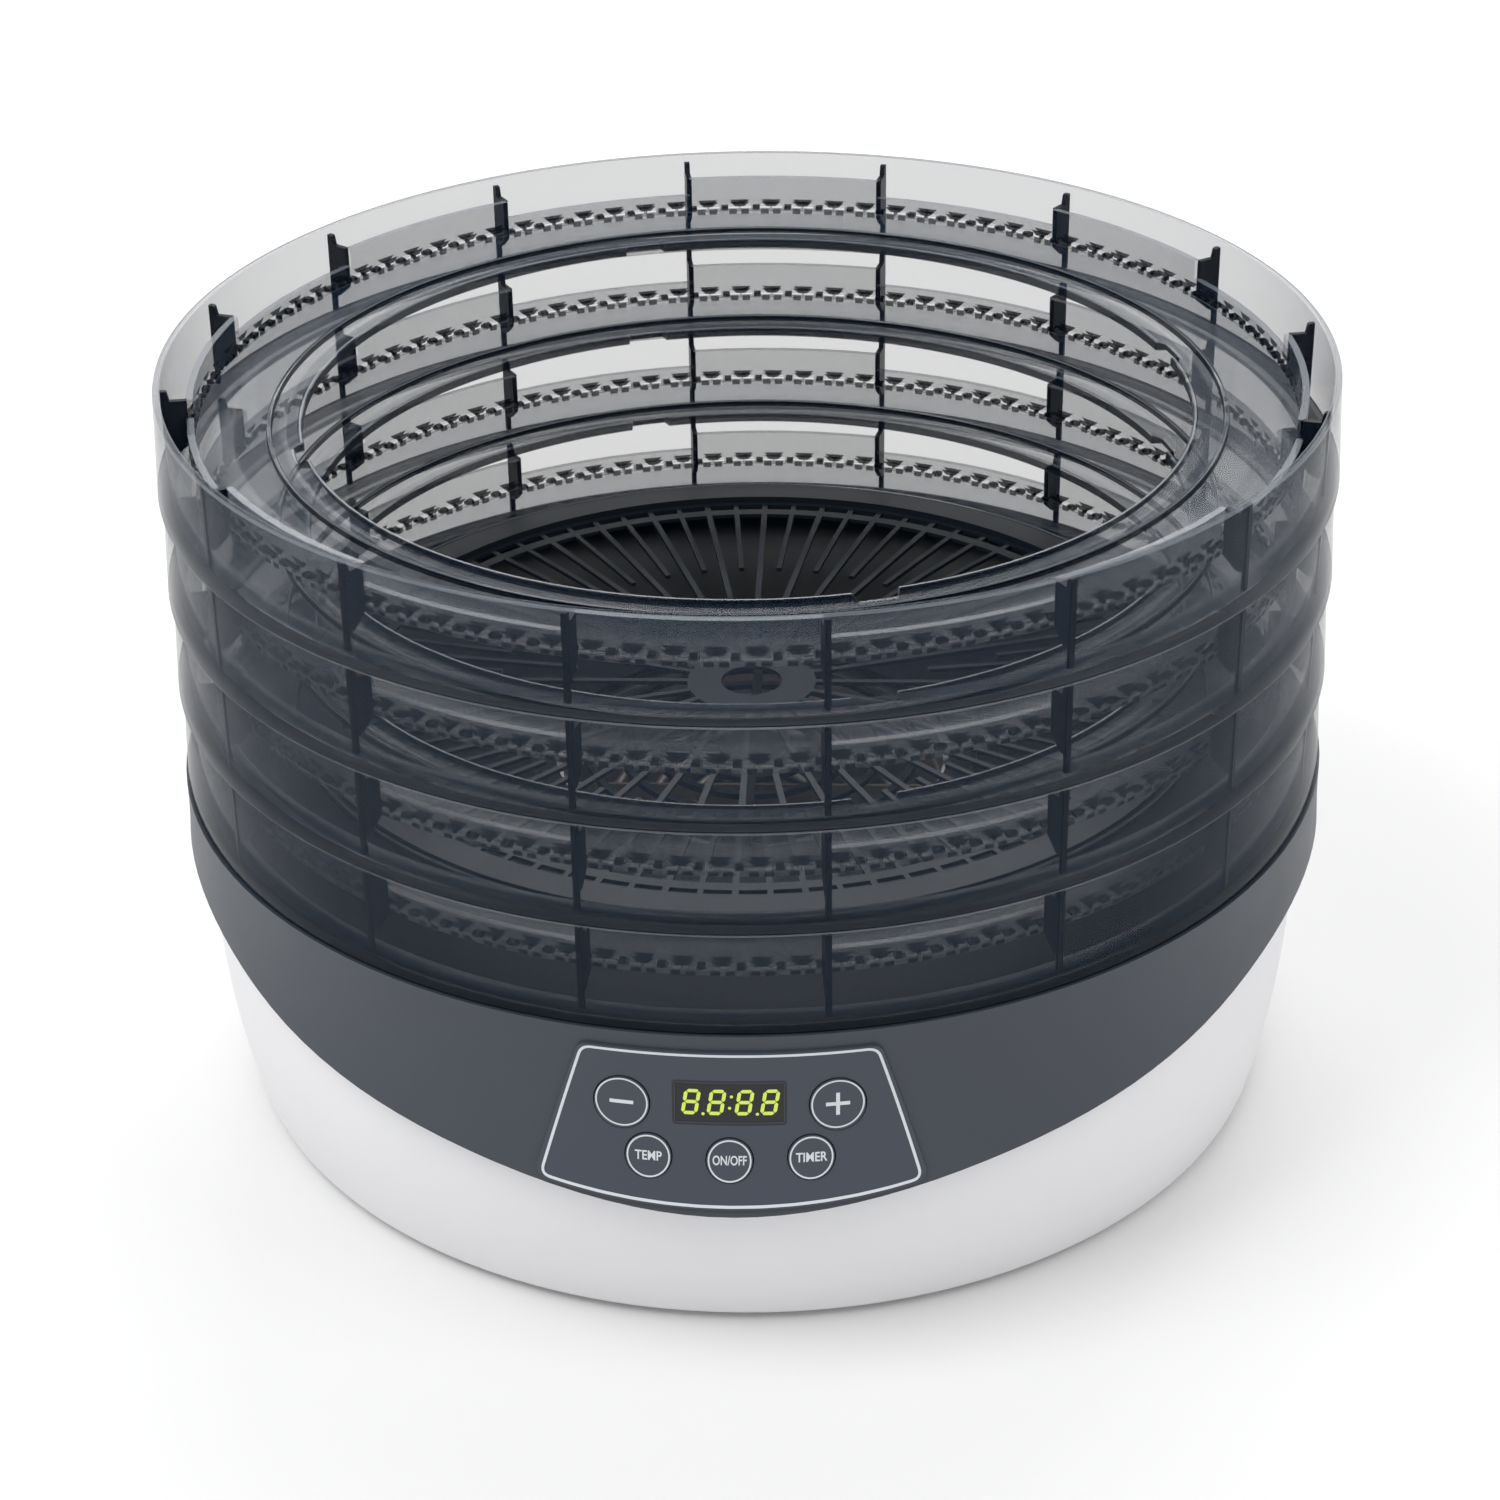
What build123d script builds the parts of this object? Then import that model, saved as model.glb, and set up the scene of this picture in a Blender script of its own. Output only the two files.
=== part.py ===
"""Food dehydrator: a white base with a dark collar and a front keypad, four
nesting smoke-grey trays, and the fan, heater and boards inside the base.

Millimetres, +Z up. The origin is the point on the resting surface under the
axis of the tray stack, and the keypad faces -Y.
"""

import os
from math import cos, radians, sin, sqrt

from build123d import *

os.makedirs("parts", exist_ok=True)

# ---------------------------------------------------------------- dimensions

# Base outline: (height, radius, forward shift of the circle's centre)
HOUSING_SECTIONS = [(2.0, 154.0, 0.0), (48.0, 159.5, 8.0), (87.5, 162.0, 1.0)]
COLLAR_SECTIONS = [(42.0, 174.0, 9.0), (76.0, 168.0, 1.5), (102.0, 167.0, 0.0)]
HOUSING_WALL = 3.0
COLLAR_WALL = 2.6
COLLAR_TOP = 102.0
# Lower edge of the collar seen from the front: (distance from the middle, height)
COLLAR_EDGE = [(0.0, 52.7), (70.0, 60.2), (130.0, 72.3), (168.0, 83.0)]
EDGE_LIP = 3.0  # depth of the lip that closes the collar onto the housing
DECK = 90.0  # underside of the collar's inner deck
DECK_THICK = 2.0
SEAT_RADIUS = 162.3  # inner face of the ring that the first tray stands on
LEDGE_RADIUS = 157.0  # inner edge of the ledge that carries the deck

# Keypad on the front of the collar
LEAN = 13.0  # degrees the keypad leans back
PANEL_SKIN = 1.0
PANEL_TOP = 97.6
PANEL_TOP_HALF = 38.9
PANEL_LOW = 58.6
PANEL_LOW_MIDDLE = 55.0
PANEL_LOW_HALF = 51.8
WINDOW_HALF = 14.0
WINDOW_LOW = 77.6
WINDOW_HIGH = 88.6
BUTTONS = {
    "minus": (-27.9, 81.6, 7.2),
    "plus": (27.9, 81.6, 7.2),
    "temperature": (-21.1, 67.8, 6.0),
    "power": (0.0, 67.4, 6.0),
    "timer": (21.1, 67.8, 6.0),
}
BUTTON_TRAVEL = 0.5
BUTTON_GAP = 0.3
BUTTON_PROUD = 0.4
BOARD_DEPTH = 18.0  # from the keypad's face back to the board
BOARD_THICK = 1.6

# Trays, every height measured from the flange a tray stands on
PITCH = 29.8
RIM_RADIUS = 165.2
SKIRT_RADIUS = 166.4
WALL_INNER = 163.0
FLANGE_INNER = 157.0
SPIGOT_INNER = 159.0
SPIGOT_OUTER = 161.2
SPIGOT_DEPTH = 2.0
RING_INNER = 154.6
RING_OUTER = 156.6
RING_HIGH = 5.5  # below the rim
RING_LOW = 11.0
SHELF_BELOW_RIM = 16.5
SHELF_THICK = 1.8
LIP_HEIGHT = 1.2
OPENING_RADIUS = 125.2
RIDGE_RADIUS = 134.4
SECTORS = 16
RIB_PHASE = -81.0  # degrees from +X to the first rib
RIB_THICK = 2.0
SLOT_PHASE = RIB_PHASE + 3.75
SLOT_WIDTH = 13.0
SLOT_HEIGHT = 2.6
NOTCH_PHASE = 17.0

# Lift-out rack on the lowest tray
RACK_RADIUS = 124.6
RACK_FLANGE = 132.6
RACK_DROP = 2.2
RACK_RINGS = [36.0, 56.0, 76.0, 95.5, 116.0]

# Fan, motor, duct and heater
FAN_RADIUS = 53.0
DUCT_RADIUS = 57.0
OUTLET_RADIUS = 62.0
SHAFT_RADIUS = 2.5
COIL_RINGS = [18.0, 30.0, 42.0]


def blank(sections, grow=0.0):
    """A solid lofted through circles, with every radius changed by grow."""
    with BuildPart() as solid:
        for height, radius, forward in sections:
            with BuildSketch(Plane.XY.offset(height)):
                with Locations((0, -forward)):
                    Circle(radius + grow)
        loft()
    return solid.part


def curve_through(sections, height, column):
    """The quadratic through three sections, read at a height."""
    total = 0.0
    for here in sections:
        term = here[column]
        for other in sections:
            if other is not here:
                term *= (height - other[0]) / (here[0] - other[0])
        total += term
    return total


def collar_front(x, height):
    """The point of the collar's outer face at a width and a height."""
    radius = curve_through(COLLAR_SECTIONS, height, 1)
    forward = curve_through(COLLAR_SECTIONS, height, 2)
    return (x, -forward - sqrt(radius * radius - x * x), height)


def keypad_plane(x, height):
    """A plane on the keypad's face, its normal pointing out of the base."""
    normal = (0, -cos(radians(LEAN)), sin(radians(LEAN)))
    return Plane(origin=collar_front(x, height), x_dir=(1, 0, 0), z_dir=normal)


BOARD_PLANE = keypad_plane(0, 76.2).offset(-BOARD_DEPTH)
WINDOW_MIDDLE = (WINDOW_LOW + WINDOW_HIGH) / 2
INLET_HEIGHT = 24.0
INLET_BACK = curve_through(HOUSING_SECTIONS, INLET_HEIGHT, 1) - curve_through(
    HOUSING_SECTIONS, INLET_HEIGHT, 2
)

HOUSING_OUTER = blank(HOUSING_SECTIONS)
HOUSING_INNER = blank(HOUSING_SECTIONS, -HOUSING_WALL)
HOUSING_CLEAR = blank(HOUSING_SECTIONS, 0.35)
COLLAR_OUTER = blank(COLLAR_SECTIONS)
COLLAR_INNER = blank(COLLAR_SECTIONS, -COLLAR_WALL)

# ---------------------------------------------------------------- base shells

with BuildPart() as lower_housing:
    add(HOUSING_OUTER)
    fillet(lower_housing.edges().group_by(Axis.Z)[0], radius=3.0)
    add(HOUSING_INNER, mode=Mode.SUBTRACT)
    with BuildSketch(Plane.XY.offset(2.0)):
        Circle(151.6)
        Circle(146.0, mode=Mode.SUBTRACT)
    extrude(amount=2.5)
    with BuildSketch(Plane.XZ.offset(-INLET_BACK + 10)):
        with Locations((0, INLET_HEIGHT)):
            Circle(6.2)
    extrude(amount=-20, mode=Mode.SUBTRACT)
    # opening behind the keypad, hidden by the collar
    with BuildSketch(Plane.XZ.offset(130)):
        with Locations((0, 74.5)):
            Rectangle(93, 34)
    extrude(amount=50, mode=Mode.SUBTRACT)
lower_housing.part.label = "lower_housing"
export_step(lower_housing.part, "parts/lower_housing.step")

# region kept above the collar's lower edge, and the band of its lip
with BuildPart() as above_edge:
    with BuildSketch(Plane.XZ):
        with BuildLine():
            edge = Spline(
                [(-x, z) for x, z in reversed(COLLAR_EDGE[1:])] + COLLAR_EDGE,
                tangents=[(1, -0.1), (1, 0.1)],
            )
            Polyline(edge @ 1, (190, 83), (190, 120), (-190, 120), (-190, 83), edge @ 0)
        make_face()
    extrude(amount=200)
    with BuildSketch(Plane.XY.offset(83.0)):
        with Locations((0, 100)):
            Rectangle(380, 200)
    extrude(amount=37)

with BuildPart() as collar_lip:
    add(COLLAR_OUTER)
    add(HOUSING_CLEAR, mode=Mode.SUBTRACT)
    add(above_edge.part, mode=Mode.INTERSECT)
    with Locations((0, 0, EDGE_LIP)):
        add(above_edge.part, mode=Mode.SUBTRACT)

with BuildPart() as collar:
    add(COLLAR_OUTER)
    add(COLLAR_INNER, mode=Mode.SUBTRACT)
    with BuildSketch(BOARD_PLANE):
        with GridLocations(82, 24, 2, 2):
            Circle(3.0)
    extrude(amount=BOARD_DEPTH)
    add(COLLAR_OUTER, mode=Mode.INTERSECT)
    add(above_edge.part, mode=Mode.INTERSECT)
    add(collar_lip.part)
    with BuildSketch(Plane.XZ):
        with BuildLine():
            Polyline(
                (LEDGE_RADIUS, DECK - DECK_THICK),
                (165.5, DECK - DECK_THICK),
                (165.5, COLLAR_TOP),
                (SEAT_RADIUS, COLLAR_TOP),
                (SEAT_RADIUS, DECK),
                (LEDGE_RADIUS, DECK),
                close=True,
            )
        make_face()
    revolve(axis=Axis.Z)
    for x, height, radius in BUTTONS.values():
        with BuildSketch(keypad_plane(x, height).offset(-8)):
            Circle(radius + BUTTON_GAP)
        extrude(amount=12, mode=Mode.SUBTRACT)
    with BuildSketch(Plane.XZ.offset(160)):
        with Locations((0, WINDOW_MIDDLE)):
            Rectangle(2 * WINDOW_HALF, WINDOW_HIGH - WINDOW_LOW)
    extrude(amount=20, mode=Mode.SUBTRACT)
collar.part.label = "collar"
export_step(collar.part, "parts/collar.step")

with BuildPart() as inner_deck:
    with BuildSketch(Plane.XY.offset(DECK)):
        Circle(SEAT_RADIUS - 0.3)
        Circle(OUTLET_RADIUS, mode=Mode.SUBTRACT)
    extrude(amount=DECK_THICK)
    with BuildSketch(Plane.XY.offset(7.0)):
        with PolarLocations(128, 4, start_angle=45):
            Circle(5.0)
            Circle(1.7, mode=Mode.SUBTRACT)
    extrude(amount=DECK - 7.0)
inner_deck.part.label = "inner_deck"
export_step(inner_deck.part, "parts/inner_deck.step")

with BuildPart() as bottom_cover:
    with BuildSketch(Plane.XY.offset(4.5)):
        Circle(150.0)
        with PolarLocations(128, 4, start_angle=45):
            Circle(2.1, mode=Mode.SUBTRACT)
        for ring, count in ((38, 18), (54, 24), (70, 30)):
            with PolarLocations(ring, count):
                SlotOverall(9.0, 3.2, mode=Mode.SUBTRACT)
    extrude(amount=2.5)
    with BuildSketch(Plane.XY.offset(7.0)):
        Circle(28.0)
        Circle(24.0, mode=Mode.SUBTRACT)
        with Locations((0, -96)):
            with GridLocations(62, 40, 2, 2):
                Circle(2.5)
    extrude(amount=6.0)
bottom_cover.part.label = "bottom_cover"
export_step(bottom_cover.part, "parts/bottom_cover.step")

with BuildPart() as feet:
    with BuildSketch():
        with PolarLocations(136, 4, start_angle=20):
            Circle(9.0)
    extrude(amount=4.5)
    chamfer(feet.edges().group_by(Axis.Z)[0], length=0.8)
feet.part.label = "feet"
export_step(feet.part, "parts/feet.step")

with BuildPart() as housing_screws:
    with BuildSketch(Plane.XY.offset(2.5)):
        with PolarLocations(128, 4, start_angle=45):
            Circle(3.4)
    extrude(amount=2.0)
    with BuildSketch(Plane.XY.offset(4.5)):
        with PolarLocations(128, 4, start_angle=45):
            Circle(1.7)
    extrude(amount=16.0)
    with BuildSketch(Plane.XY.offset(2.5)):
        with PolarLocations(128, 4, start_angle=45):
            Rectangle(4.4, 0.9)
            Rectangle(0.9, 4.4)
    extrude(amount=1.1, mode=Mode.SUBTRACT)
housing_screws.part.label = "housing_screws"
export_step(housing_screws.part, "parts/housing_screws.step")

with BuildPart() as cord_bush:
    with BuildSketch(Plane.XZ.offset(-INLET_BACK + 8)):
        with Locations((0, INLET_HEIGHT)):
            Circle(6.2)
    extrude(amount=-9.4)
    with BuildSketch(Plane.XZ.offset(-INLET_BACK - 1.4)):
        with Locations((0, INLET_HEIGHT)):
            Circle(9.0)
    extrude(amount=-4)
    fillet(cord_bush.edges().group_by(Axis.Y)[-1], radius=1.0)
    with BuildSketch(Plane.XZ.offset(-INLET_BACK + 20)):
        with Locations((0, INLET_HEIGHT)):
            Circle(3.6)
    extrude(amount=-40, mode=Mode.SUBTRACT)
cord_bush.part.label = "cord_bush"
export_step(cord_bush.part, "parts/cord_bush.step")

# ---------------------------------------------------------------- keypad

PANEL_FACE = blank(COLLAR_SECTIONS, PANEL_SKIN)
WINDOW_FACE = blank(COLLAR_SECTIONS, PANEL_SKIN - 0.3)
WINDOW_BACK = blank(COLLAR_SECTIONS, -1.2)
BUTTON_FACE = blank(COLLAR_SECTIONS, PANEL_SKIN + BUTTON_PROUD)
BUTTON_BACK = blank(COLLAR_SECTIONS, -COLLAR_WALL - 0.6)

with BuildPart() as control_panel:
    add(PANEL_FACE)
    add(COLLAR_OUTER, mode=Mode.SUBTRACT)
    with BuildSketch(Plane.XZ.offset(150)) as outline:
        with BuildLine():
            top = Line((PANEL_TOP_HALF, PANEL_TOP), (-PANEL_TOP_HALF, PANEL_TOP))
            left = Line(top @ 1, (-PANEL_LOW_HALF, PANEL_LOW))
            low = ThreePointArc(left @ 1, (0, PANEL_LOW_MIDDLE), (PANEL_LOW_HALF, PANEL_LOW))
            Line(low @ 1, top @ 0)
        make_face()
        fillet(outline.vertices(), radius=3.0)
    extrude(amount=60, mode=Mode.INTERSECT)
    for x, height, radius in BUTTONS.values():
        with BuildSketch(keypad_plane(x, height).offset(-8)):
            Circle(radius + BUTTON_GAP)
        extrude(amount=12, mode=Mode.SUBTRACT)
    with BuildSketch(Plane.XZ.offset(160)):
        with Locations((0, WINDOW_MIDDLE)):
            Rectangle(2 * WINDOW_HALF, WINDOW_HIGH - WINDOW_LOW)
    extrude(amount=20, mode=Mode.SUBTRACT)
control_panel.part.label = "control_panel"
export_step(control_panel.part, "parts/control_panel.step")

with BuildPart() as display_window:
    add(WINDOW_FACE)
    add(WINDOW_BACK, mode=Mode.SUBTRACT)
    with BuildSketch(Plane.XZ.offset(150)):
        with Locations((0, WINDOW_MIDDLE)):
            Rectangle(2 * WINDOW_HALF, WINDOW_HIGH - WINDOW_LOW)
    extrude(amount=60, mode=Mode.INTERSECT)
display_window.part.label = "display_window"
export_step(display_window.part, "parts/display_window.step")

for button_name, (x, height, radius) in BUTTONS.items():
    stem_foot = BOARD_PLANE.offset(5.6 + BUTTON_TRAVEL)
    stem = stem_foot.to_local_coords(Vector(*collar_front(x, height)))
    with BuildPart() as button:
        add(BUTTON_FACE)
        add(BUTTON_BACK, mode=Mode.SUBTRACT)
        with BuildSketch(keypad_plane(x, height).offset(-20)):
            Circle(radius)
        extrude(amount=30, mode=Mode.INTERSECT)
        with BuildSketch(stem_foot):
            with Locations((stem.X, stem.Y)):
                Circle(2.0)
        extrude(amount=stem.Z - 1.0)
    button.part.label = f"button_{button_name}"
    export_step(button.part, f"parts/button_{button_name}.step")

with BuildPart() as control_board:
    with BuildSketch(BOARD_PLANE):
        Rectangle(92, 32)
        with GridLocations(82, 24, 2, 2):
            Circle(1.2, mode=Mode.SUBTRACT)
    extrude(amount=-BOARD_THICK)
control_board.part.label = "control_board"
export_step(control_board.part, "parts/control_board.step")

with BuildPart() as tact_switches:
    for x, height, radius in BUTTONS.values():
        spot = BOARD_PLANE.to_local_coords(Vector(*collar_front(x, height)))
        with BuildSketch(BOARD_PLANE):
            with Locations((spot.X, spot.Y)):
                Rectangle(6.0, 6.0)
        extrude(amount=3.8)
        with BuildSketch(BOARD_PLANE.offset(3.8)):
            with Locations((spot.X, spot.Y)):
                Circle(1.7)
        extrude(amount=1.7)
tact_switches.part.label = "tact_switches"
export_step(tact_switches.part, "parts/tact_switches.step")

display_spot = BOARD_PLANE.to_local_coords(Vector(*collar_front(0, WINDOW_MIDDLE)))
with BuildPart() as display_module:
    with BuildSketch(BOARD_PLANE):
        with Locations((0, display_spot.Y)):
            Rectangle(26.0, 9.4)
    extrude(amount=BOARD_DEPTH - 2.4)
display_module.part.label = "display_module"
export_step(display_module.part, "parts/display_module.step")

with BuildPart() as board_screws:
    with BuildSketch(BOARD_PLANE.offset(-BOARD_THICK)):
        with GridLocations(82, 24, 2, 2):
            Circle(2.6)
    extrude(amount=-1.6)
    with BuildSketch(BOARD_PLANE.offset(-BOARD_THICK)):
        with GridLocations(82, 24, 2, 2):
            Circle(1.2)
    extrude(amount=BOARD_THICK)
board_screws.part.label = "board_screws"
export_step(board_screws.part, "parts/board_screws.step")

# ---------------------------------------------------------------- power side

with BuildPart() as power_board:
    with BuildSketch(Plane.XY.offset(13.0)):
        with Locations((0, -96)):
            Rectangle(74, 50)
    extrude(amount=BOARD_THICK)
power_board.part.label = "power_board"
export_step(power_board.part, "parts/power_board.step")

with BuildPart() as transformer:
    with BuildSketch(Plane.XY.offset(13.0 + BOARD_THICK)):
        with Locations((-18, -96)):
            Rectangle(28, 24)
    extrude(amount=22)
    fillet(transformer.edges().filter_by(Axis.Z), radius=2.0)
transformer.part.label = "transformer"
export_step(transformer.part, "parts/transformer.step")

with BuildPart() as relay:
    with BuildSketch(Plane.XY.offset(13.0 + BOARD_THICK)):
        with Locations((18, -88)):
            Rectangle(19, 15.5)
    extrude(amount=15.5)
    fillet(relay.edges().group_by(Axis.Z)[-1], radius=1.0)
relay.part.label = "relay"
export_step(relay.part, "parts/relay.step")

cable_top = BOARD_PLANE.offset(-BOARD_THICK - 0.2).from_local_coords(Vector(0, -8, 0))
with BuildPart() as ribbon_cable:
    with BuildSketch(Plane.YZ.offset(24.0)):
        with BuildLine():
            Polyline(
                (cable_top.Y, cable_top.Z),
                (cable_top.Y + 8.0, cable_top.Z),
                (-134.0, 34.0),
                (-124.0, 18.0),
                (-118.0, 15.1),
                (-110.0, 15.1),
            )
        trace(line_width=0.9)
    extrude(amount=12)
ribbon_cable.part.label = "ribbon_cable"
export_step(ribbon_cable.part, "parts/ribbon_cable.step")

# ---------------------------------------------------------------- air path

with BuildPart() as motor_body:
    with BuildSketch(Plane.XY.offset(7.0)):
        Circle(24.0)
    extrude(amount=28)
    fillet(motor_body.edges().group_by(Axis.Z)[-1], radius=2.5)
    with BuildSketch(Plane.XY.offset(35.0)):
        Circle(7.0)
    extrude(amount=3.0)
    with BuildSketch(Plane.XY.offset(24.0)):
        Circle(SHAFT_RADIUS + 0.05)
    extrude(amount=14.0, mode=Mode.SUBTRACT)
motor_body.part.label = "motor_body"
export_step(motor_body.part, "parts/motor_body.step")

with BuildPart() as motor_shaft:
    with BuildSketch(Plane.XY.offset(25.0)):
        Circle(SHAFT_RADIUS)
    extrude(amount=33.0)
motor_shaft.part.label = "motor_shaft"
export_step(motor_shaft.part, "parts/motor_shaft.step")

with BuildPart() as fan:
    with BuildSketch(Plane.XY.offset(42.0)):
        Circle(11.0)
        Circle(SHAFT_RADIUS, mode=Mode.SUBTRACT)
    extrude(amount=16.0)
    for blade in range(7):
        spoke = Plane.XY.rotated((0, 0, blade * 360 / 7))
        chord = spoke.y_dir * cos(radians(35)) + Vector(0, 0, sin(radians(35)))
        root = Plane(origin=spoke.x_dir * 9.0 + Vector(0, 0, 50), x_dir=chord, z_dir=spoke.x_dir)
        with BuildSketch(root):
            Rectangle(14.0, 1.8)
        with BuildSketch(root.offset(FAN_RADIUS - 9.0)):
            Rectangle(24.0, 1.4)
        loft()
fan.part.label = "fan"
export_step(fan.part, "parts/fan.step")

with BuildPart() as air_duct:
    with BuildSketch(Plane.XZ):
        with BuildLine():
            Polyline(
                (DUCT_RADIUS, 38.0),
                (DUCT_RADIUS + 1.0, 38.0),
                (DUCT_RADIUS + 1.0, DECK - 1.2),
                (DUCT_RADIUS + 10.0, DECK - 1.2),
                (DUCT_RADIUS + 10.0, DECK),
                (DUCT_RADIUS, DECK),
                close=True,
            )
        make_face()
    revolve(axis=Axis.Z)
air_duct.part.label = "air_duct"
export_step(air_duct.part, "parts/air_duct.step")

with BuildPart() as heater_frame:
    with BuildSketch(Plane.XY.offset(69.0)):
        Circle(DUCT_RADIUS)
        Circle(DUCT_RADIUS - 0.8, mode=Mode.SUBTRACT)
        Rectangle(2 * DUCT_RADIUS - 1.0, 1.0)
        Rectangle(1.0, 2 * DUCT_RADIUS - 1.0)
    extrude(amount=11.0)
    with BuildSketch(Plane.XZ):
        with Locations(*[(ring, 74.5) for ring in COIL_RINGS]):
            Circle(1.8)
    revolve(axis=Axis.Z, mode=Mode.SUBTRACT)
heater_frame.part.label = "heater_frame"
export_step(heater_frame.part, "parts/heater_frame.step")

with BuildPart() as heater_coil:
    with BuildSketch(Plane.XZ):
        with Locations(*[(ring, 74.5) for ring in COIL_RINGS]):
            Circle(1.8)
    revolve(axis=Axis.Z)
heater_coil.part.label = "heater_coil"
export_step(heater_coil.part, "parts/heater_coil.step")

with BuildPart() as thermal_cutout:
    with BuildSketch(Plane.YZ.offset(DUCT_RADIUS + 1.0)):
        with Locations((0, 66)):
            Circle(8.0)
    extrude(amount=6.0)
    with BuildSketch(Plane.YZ.offset(DUCT_RADIUS + 7.0)):
        with Locations((0, 66)):
            with GridLocations(8, 1, 2, 1):
                Rectangle(3.0, 0.8)
    extrude(amount=6.0)
thermal_cutout.part.label = "thermal_cutout"
export_step(thermal_cutout.part, "parts/thermal_cutout.step")

with BuildPart() as temperature_sensor:
    with BuildSketch(Plane.XY.offset(DECK + DECK_THICK)):
        with Locations((76, 0)):
            Circle(2.4)
    extrude(amount=7.0)
    fillet(temperature_sensor.edges().group_by(Axis.Z)[-1], radius=2.0)
temperature_sensor.part.label = "temperature_sensor"
export_step(temperature_sensor.part, "parts/temperature_sensor.step")

with BuildPart() as outlet_grille:
    with BuildSketch(Plane.XY.offset(DECK + DECK_THICK)):
        Circle(OUTLET_RADIUS + 5.0)
        Circle(OUTLET_RADIUS - 3.0, mode=Mode.SUBTRACT)
        for ring in (50.0, 40.0, 30.0, 20.0):
            Circle(ring)
            Circle(ring - 2.2, mode=Mode.SUBTRACT)
        Circle(10.0)
        Rectangle(2 * OUTLET_RADIUS - 2.0, 3.0)
        Rectangle(3.0, 2 * OUTLET_RADIUS - 2.0)
    extrude(amount=1.8)
outlet_grille.part.label = "outlet_grille"
export_step(outlet_grille.part, "parts/outlet_grille.step")

# ---------------------------------------------------------------- trays

SHELF_TOP = PITCH - SHELF_BELOW_RIM
SECTOR = 360 / SECTORS

with BuildPart() as tray_pattern:
    # wall with the flange it stands on and the ring that centres it
    with BuildSketch(Plane.XZ):
        with BuildLine():
            Polyline(
                (FLANGE_INNER, 0.0),
                (SPIGOT_INNER, 0.0),
                (SPIGOT_INNER, -SPIGOT_DEPTH),
                (SPIGOT_OUTER, -SPIGOT_DEPTH),
                (SPIGOT_OUTER, 0.0),
                (SKIRT_RADIUS - 0.7, 0.0),
                (SKIRT_RADIUS, 0.8),
                (RIM_RADIUS, PITCH - 0.6),
                (RIM_RADIUS - 0.6, PITCH),
                (WALL_INNER, PITCH),
                (WALL_INNER, 2.0),
                (FLANGE_INNER, 2.0),
                close=True,
            )
        make_face()
    revolve(axis=Axis.Z)
    # shelf around the opening, with its ridge and the ring at its outer edge
    with BuildSketch(Plane.XZ):
        with BuildLine():
            Polyline(
                (OPENING_RADIUS, SHELF_TOP - SHELF_THICK),
                (RING_OUTER, SHELF_TOP - SHELF_THICK),
                (RING_OUTER, PITCH - RING_HIGH),
                (RING_INNER, PITCH - RING_HIGH),
                (RING_INNER, SHELF_TOP),
                (RIDGE_RADIUS + 0.9, SHELF_TOP),
                (RIDGE_RADIUS + 0.5, SHELF_TOP + 2.0),
                (RIDGE_RADIUS - 0.3, SHELF_TOP + 2.0),
                (RIDGE_RADIUS - 0.7, SHELF_TOP),
                (OPENING_RADIUS + 1.2, SHELF_TOP),
                (OPENING_RADIUS + 1.2, SHELF_TOP + LIP_HEIGHT),
                (OPENING_RADIUS, SHELF_TOP + LIP_HEIGHT),
                close=True,
            )
        make_face()
    revolve(axis=Axis.Z)
    # every second sector of the ring is cut lower
    with BuildSketch(Plane.XY.offset(PITCH - RING_LOW)):
        with PolarLocations(150, SECTORS // 2, start_angle=RIB_PHASE + SECTOR / 2):
            Rectangle(20.0, 2 * RING_OUTER * sin(radians(SECTOR / 2)))
        Circle(RING_OUTER + 0.2, mode=Mode.INTERSECT)
        Circle(RING_INNER - 0.2, mode=Mode.SUBTRACT)
    extrude(amount=RING_LOW, mode=Mode.SUBTRACT)
    # vent slots through the ring, just above the shelf
    with BuildSketch(Plane.XY.offset(SHELF_TOP + 0.2)):
        with PolarLocations((RING_INNER + RING_OUTER) / 2, 3 * SECTORS, start_angle=SLOT_PHASE):
            Rectangle(4.0, SLOT_WIDTH)
    extrude(amount=SLOT_HEIGHT, mode=Mode.SUBTRACT)
    # ribs that carry the ring and shelf from the wall
    for rib in range(SECTORS):
        out = Vector(1, 0, 0).rotate(Axis.Z, RIB_PHASE + rib * SECTOR)
        across = out.rotate(Axis.Z, -90)
        with BuildSketch(Plane(origin=(0, 0, 0), x_dir=out, z_dir=across)):
            with BuildLine():
                Polyline(
                    (RING_OUTER - 0.4, SHELF_TOP - SHELF_THICK),
                    (RING_OUTER - 0.4, PITCH - RING_HIGH),
                    (SPIGOT_OUTER, PITCH - RING_HIGH),
                    (SPIGOT_OUTER + 0.4, PITCH - 2.5),
                    (WALL_INNER + 0.3, PITCH - 2.5),
                    (WALL_INNER + 0.3, PITCH - 22.0),
                    (WALL_INNER - 2.5, PITCH - 22.0),
                    close=True,
                )
            make_face()
        extrude(amount=RIB_THICK / 2, both=True)
    # notches in the edge of the opening
    with BuildSketch(Plane.XY.offset(SHELF_TOP - SHELF_THICK)):
        with PolarLocations(OPENING_RADIUS, 4, start_angle=NOTCH_PHASE):
            Rectangle(6.0, 12.0)
    extrude(amount=SHELF_THICK + LIP_HEIGHT, mode=Mode.SUBTRACT)

for level in range(4):
    with BuildPart() as tray:
        with Locations((0, 0, COLLAR_TOP + level * PITCH)):
            add(tray_pattern.part)
    tray.part.label = f"tray_{4 - level}"
    export_step(tray.part, f"parts/tray_{4 - level}.step")

RACK_REST = COLLAR_TOP + SHELF_TOP + LIP_HEIGHT

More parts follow.
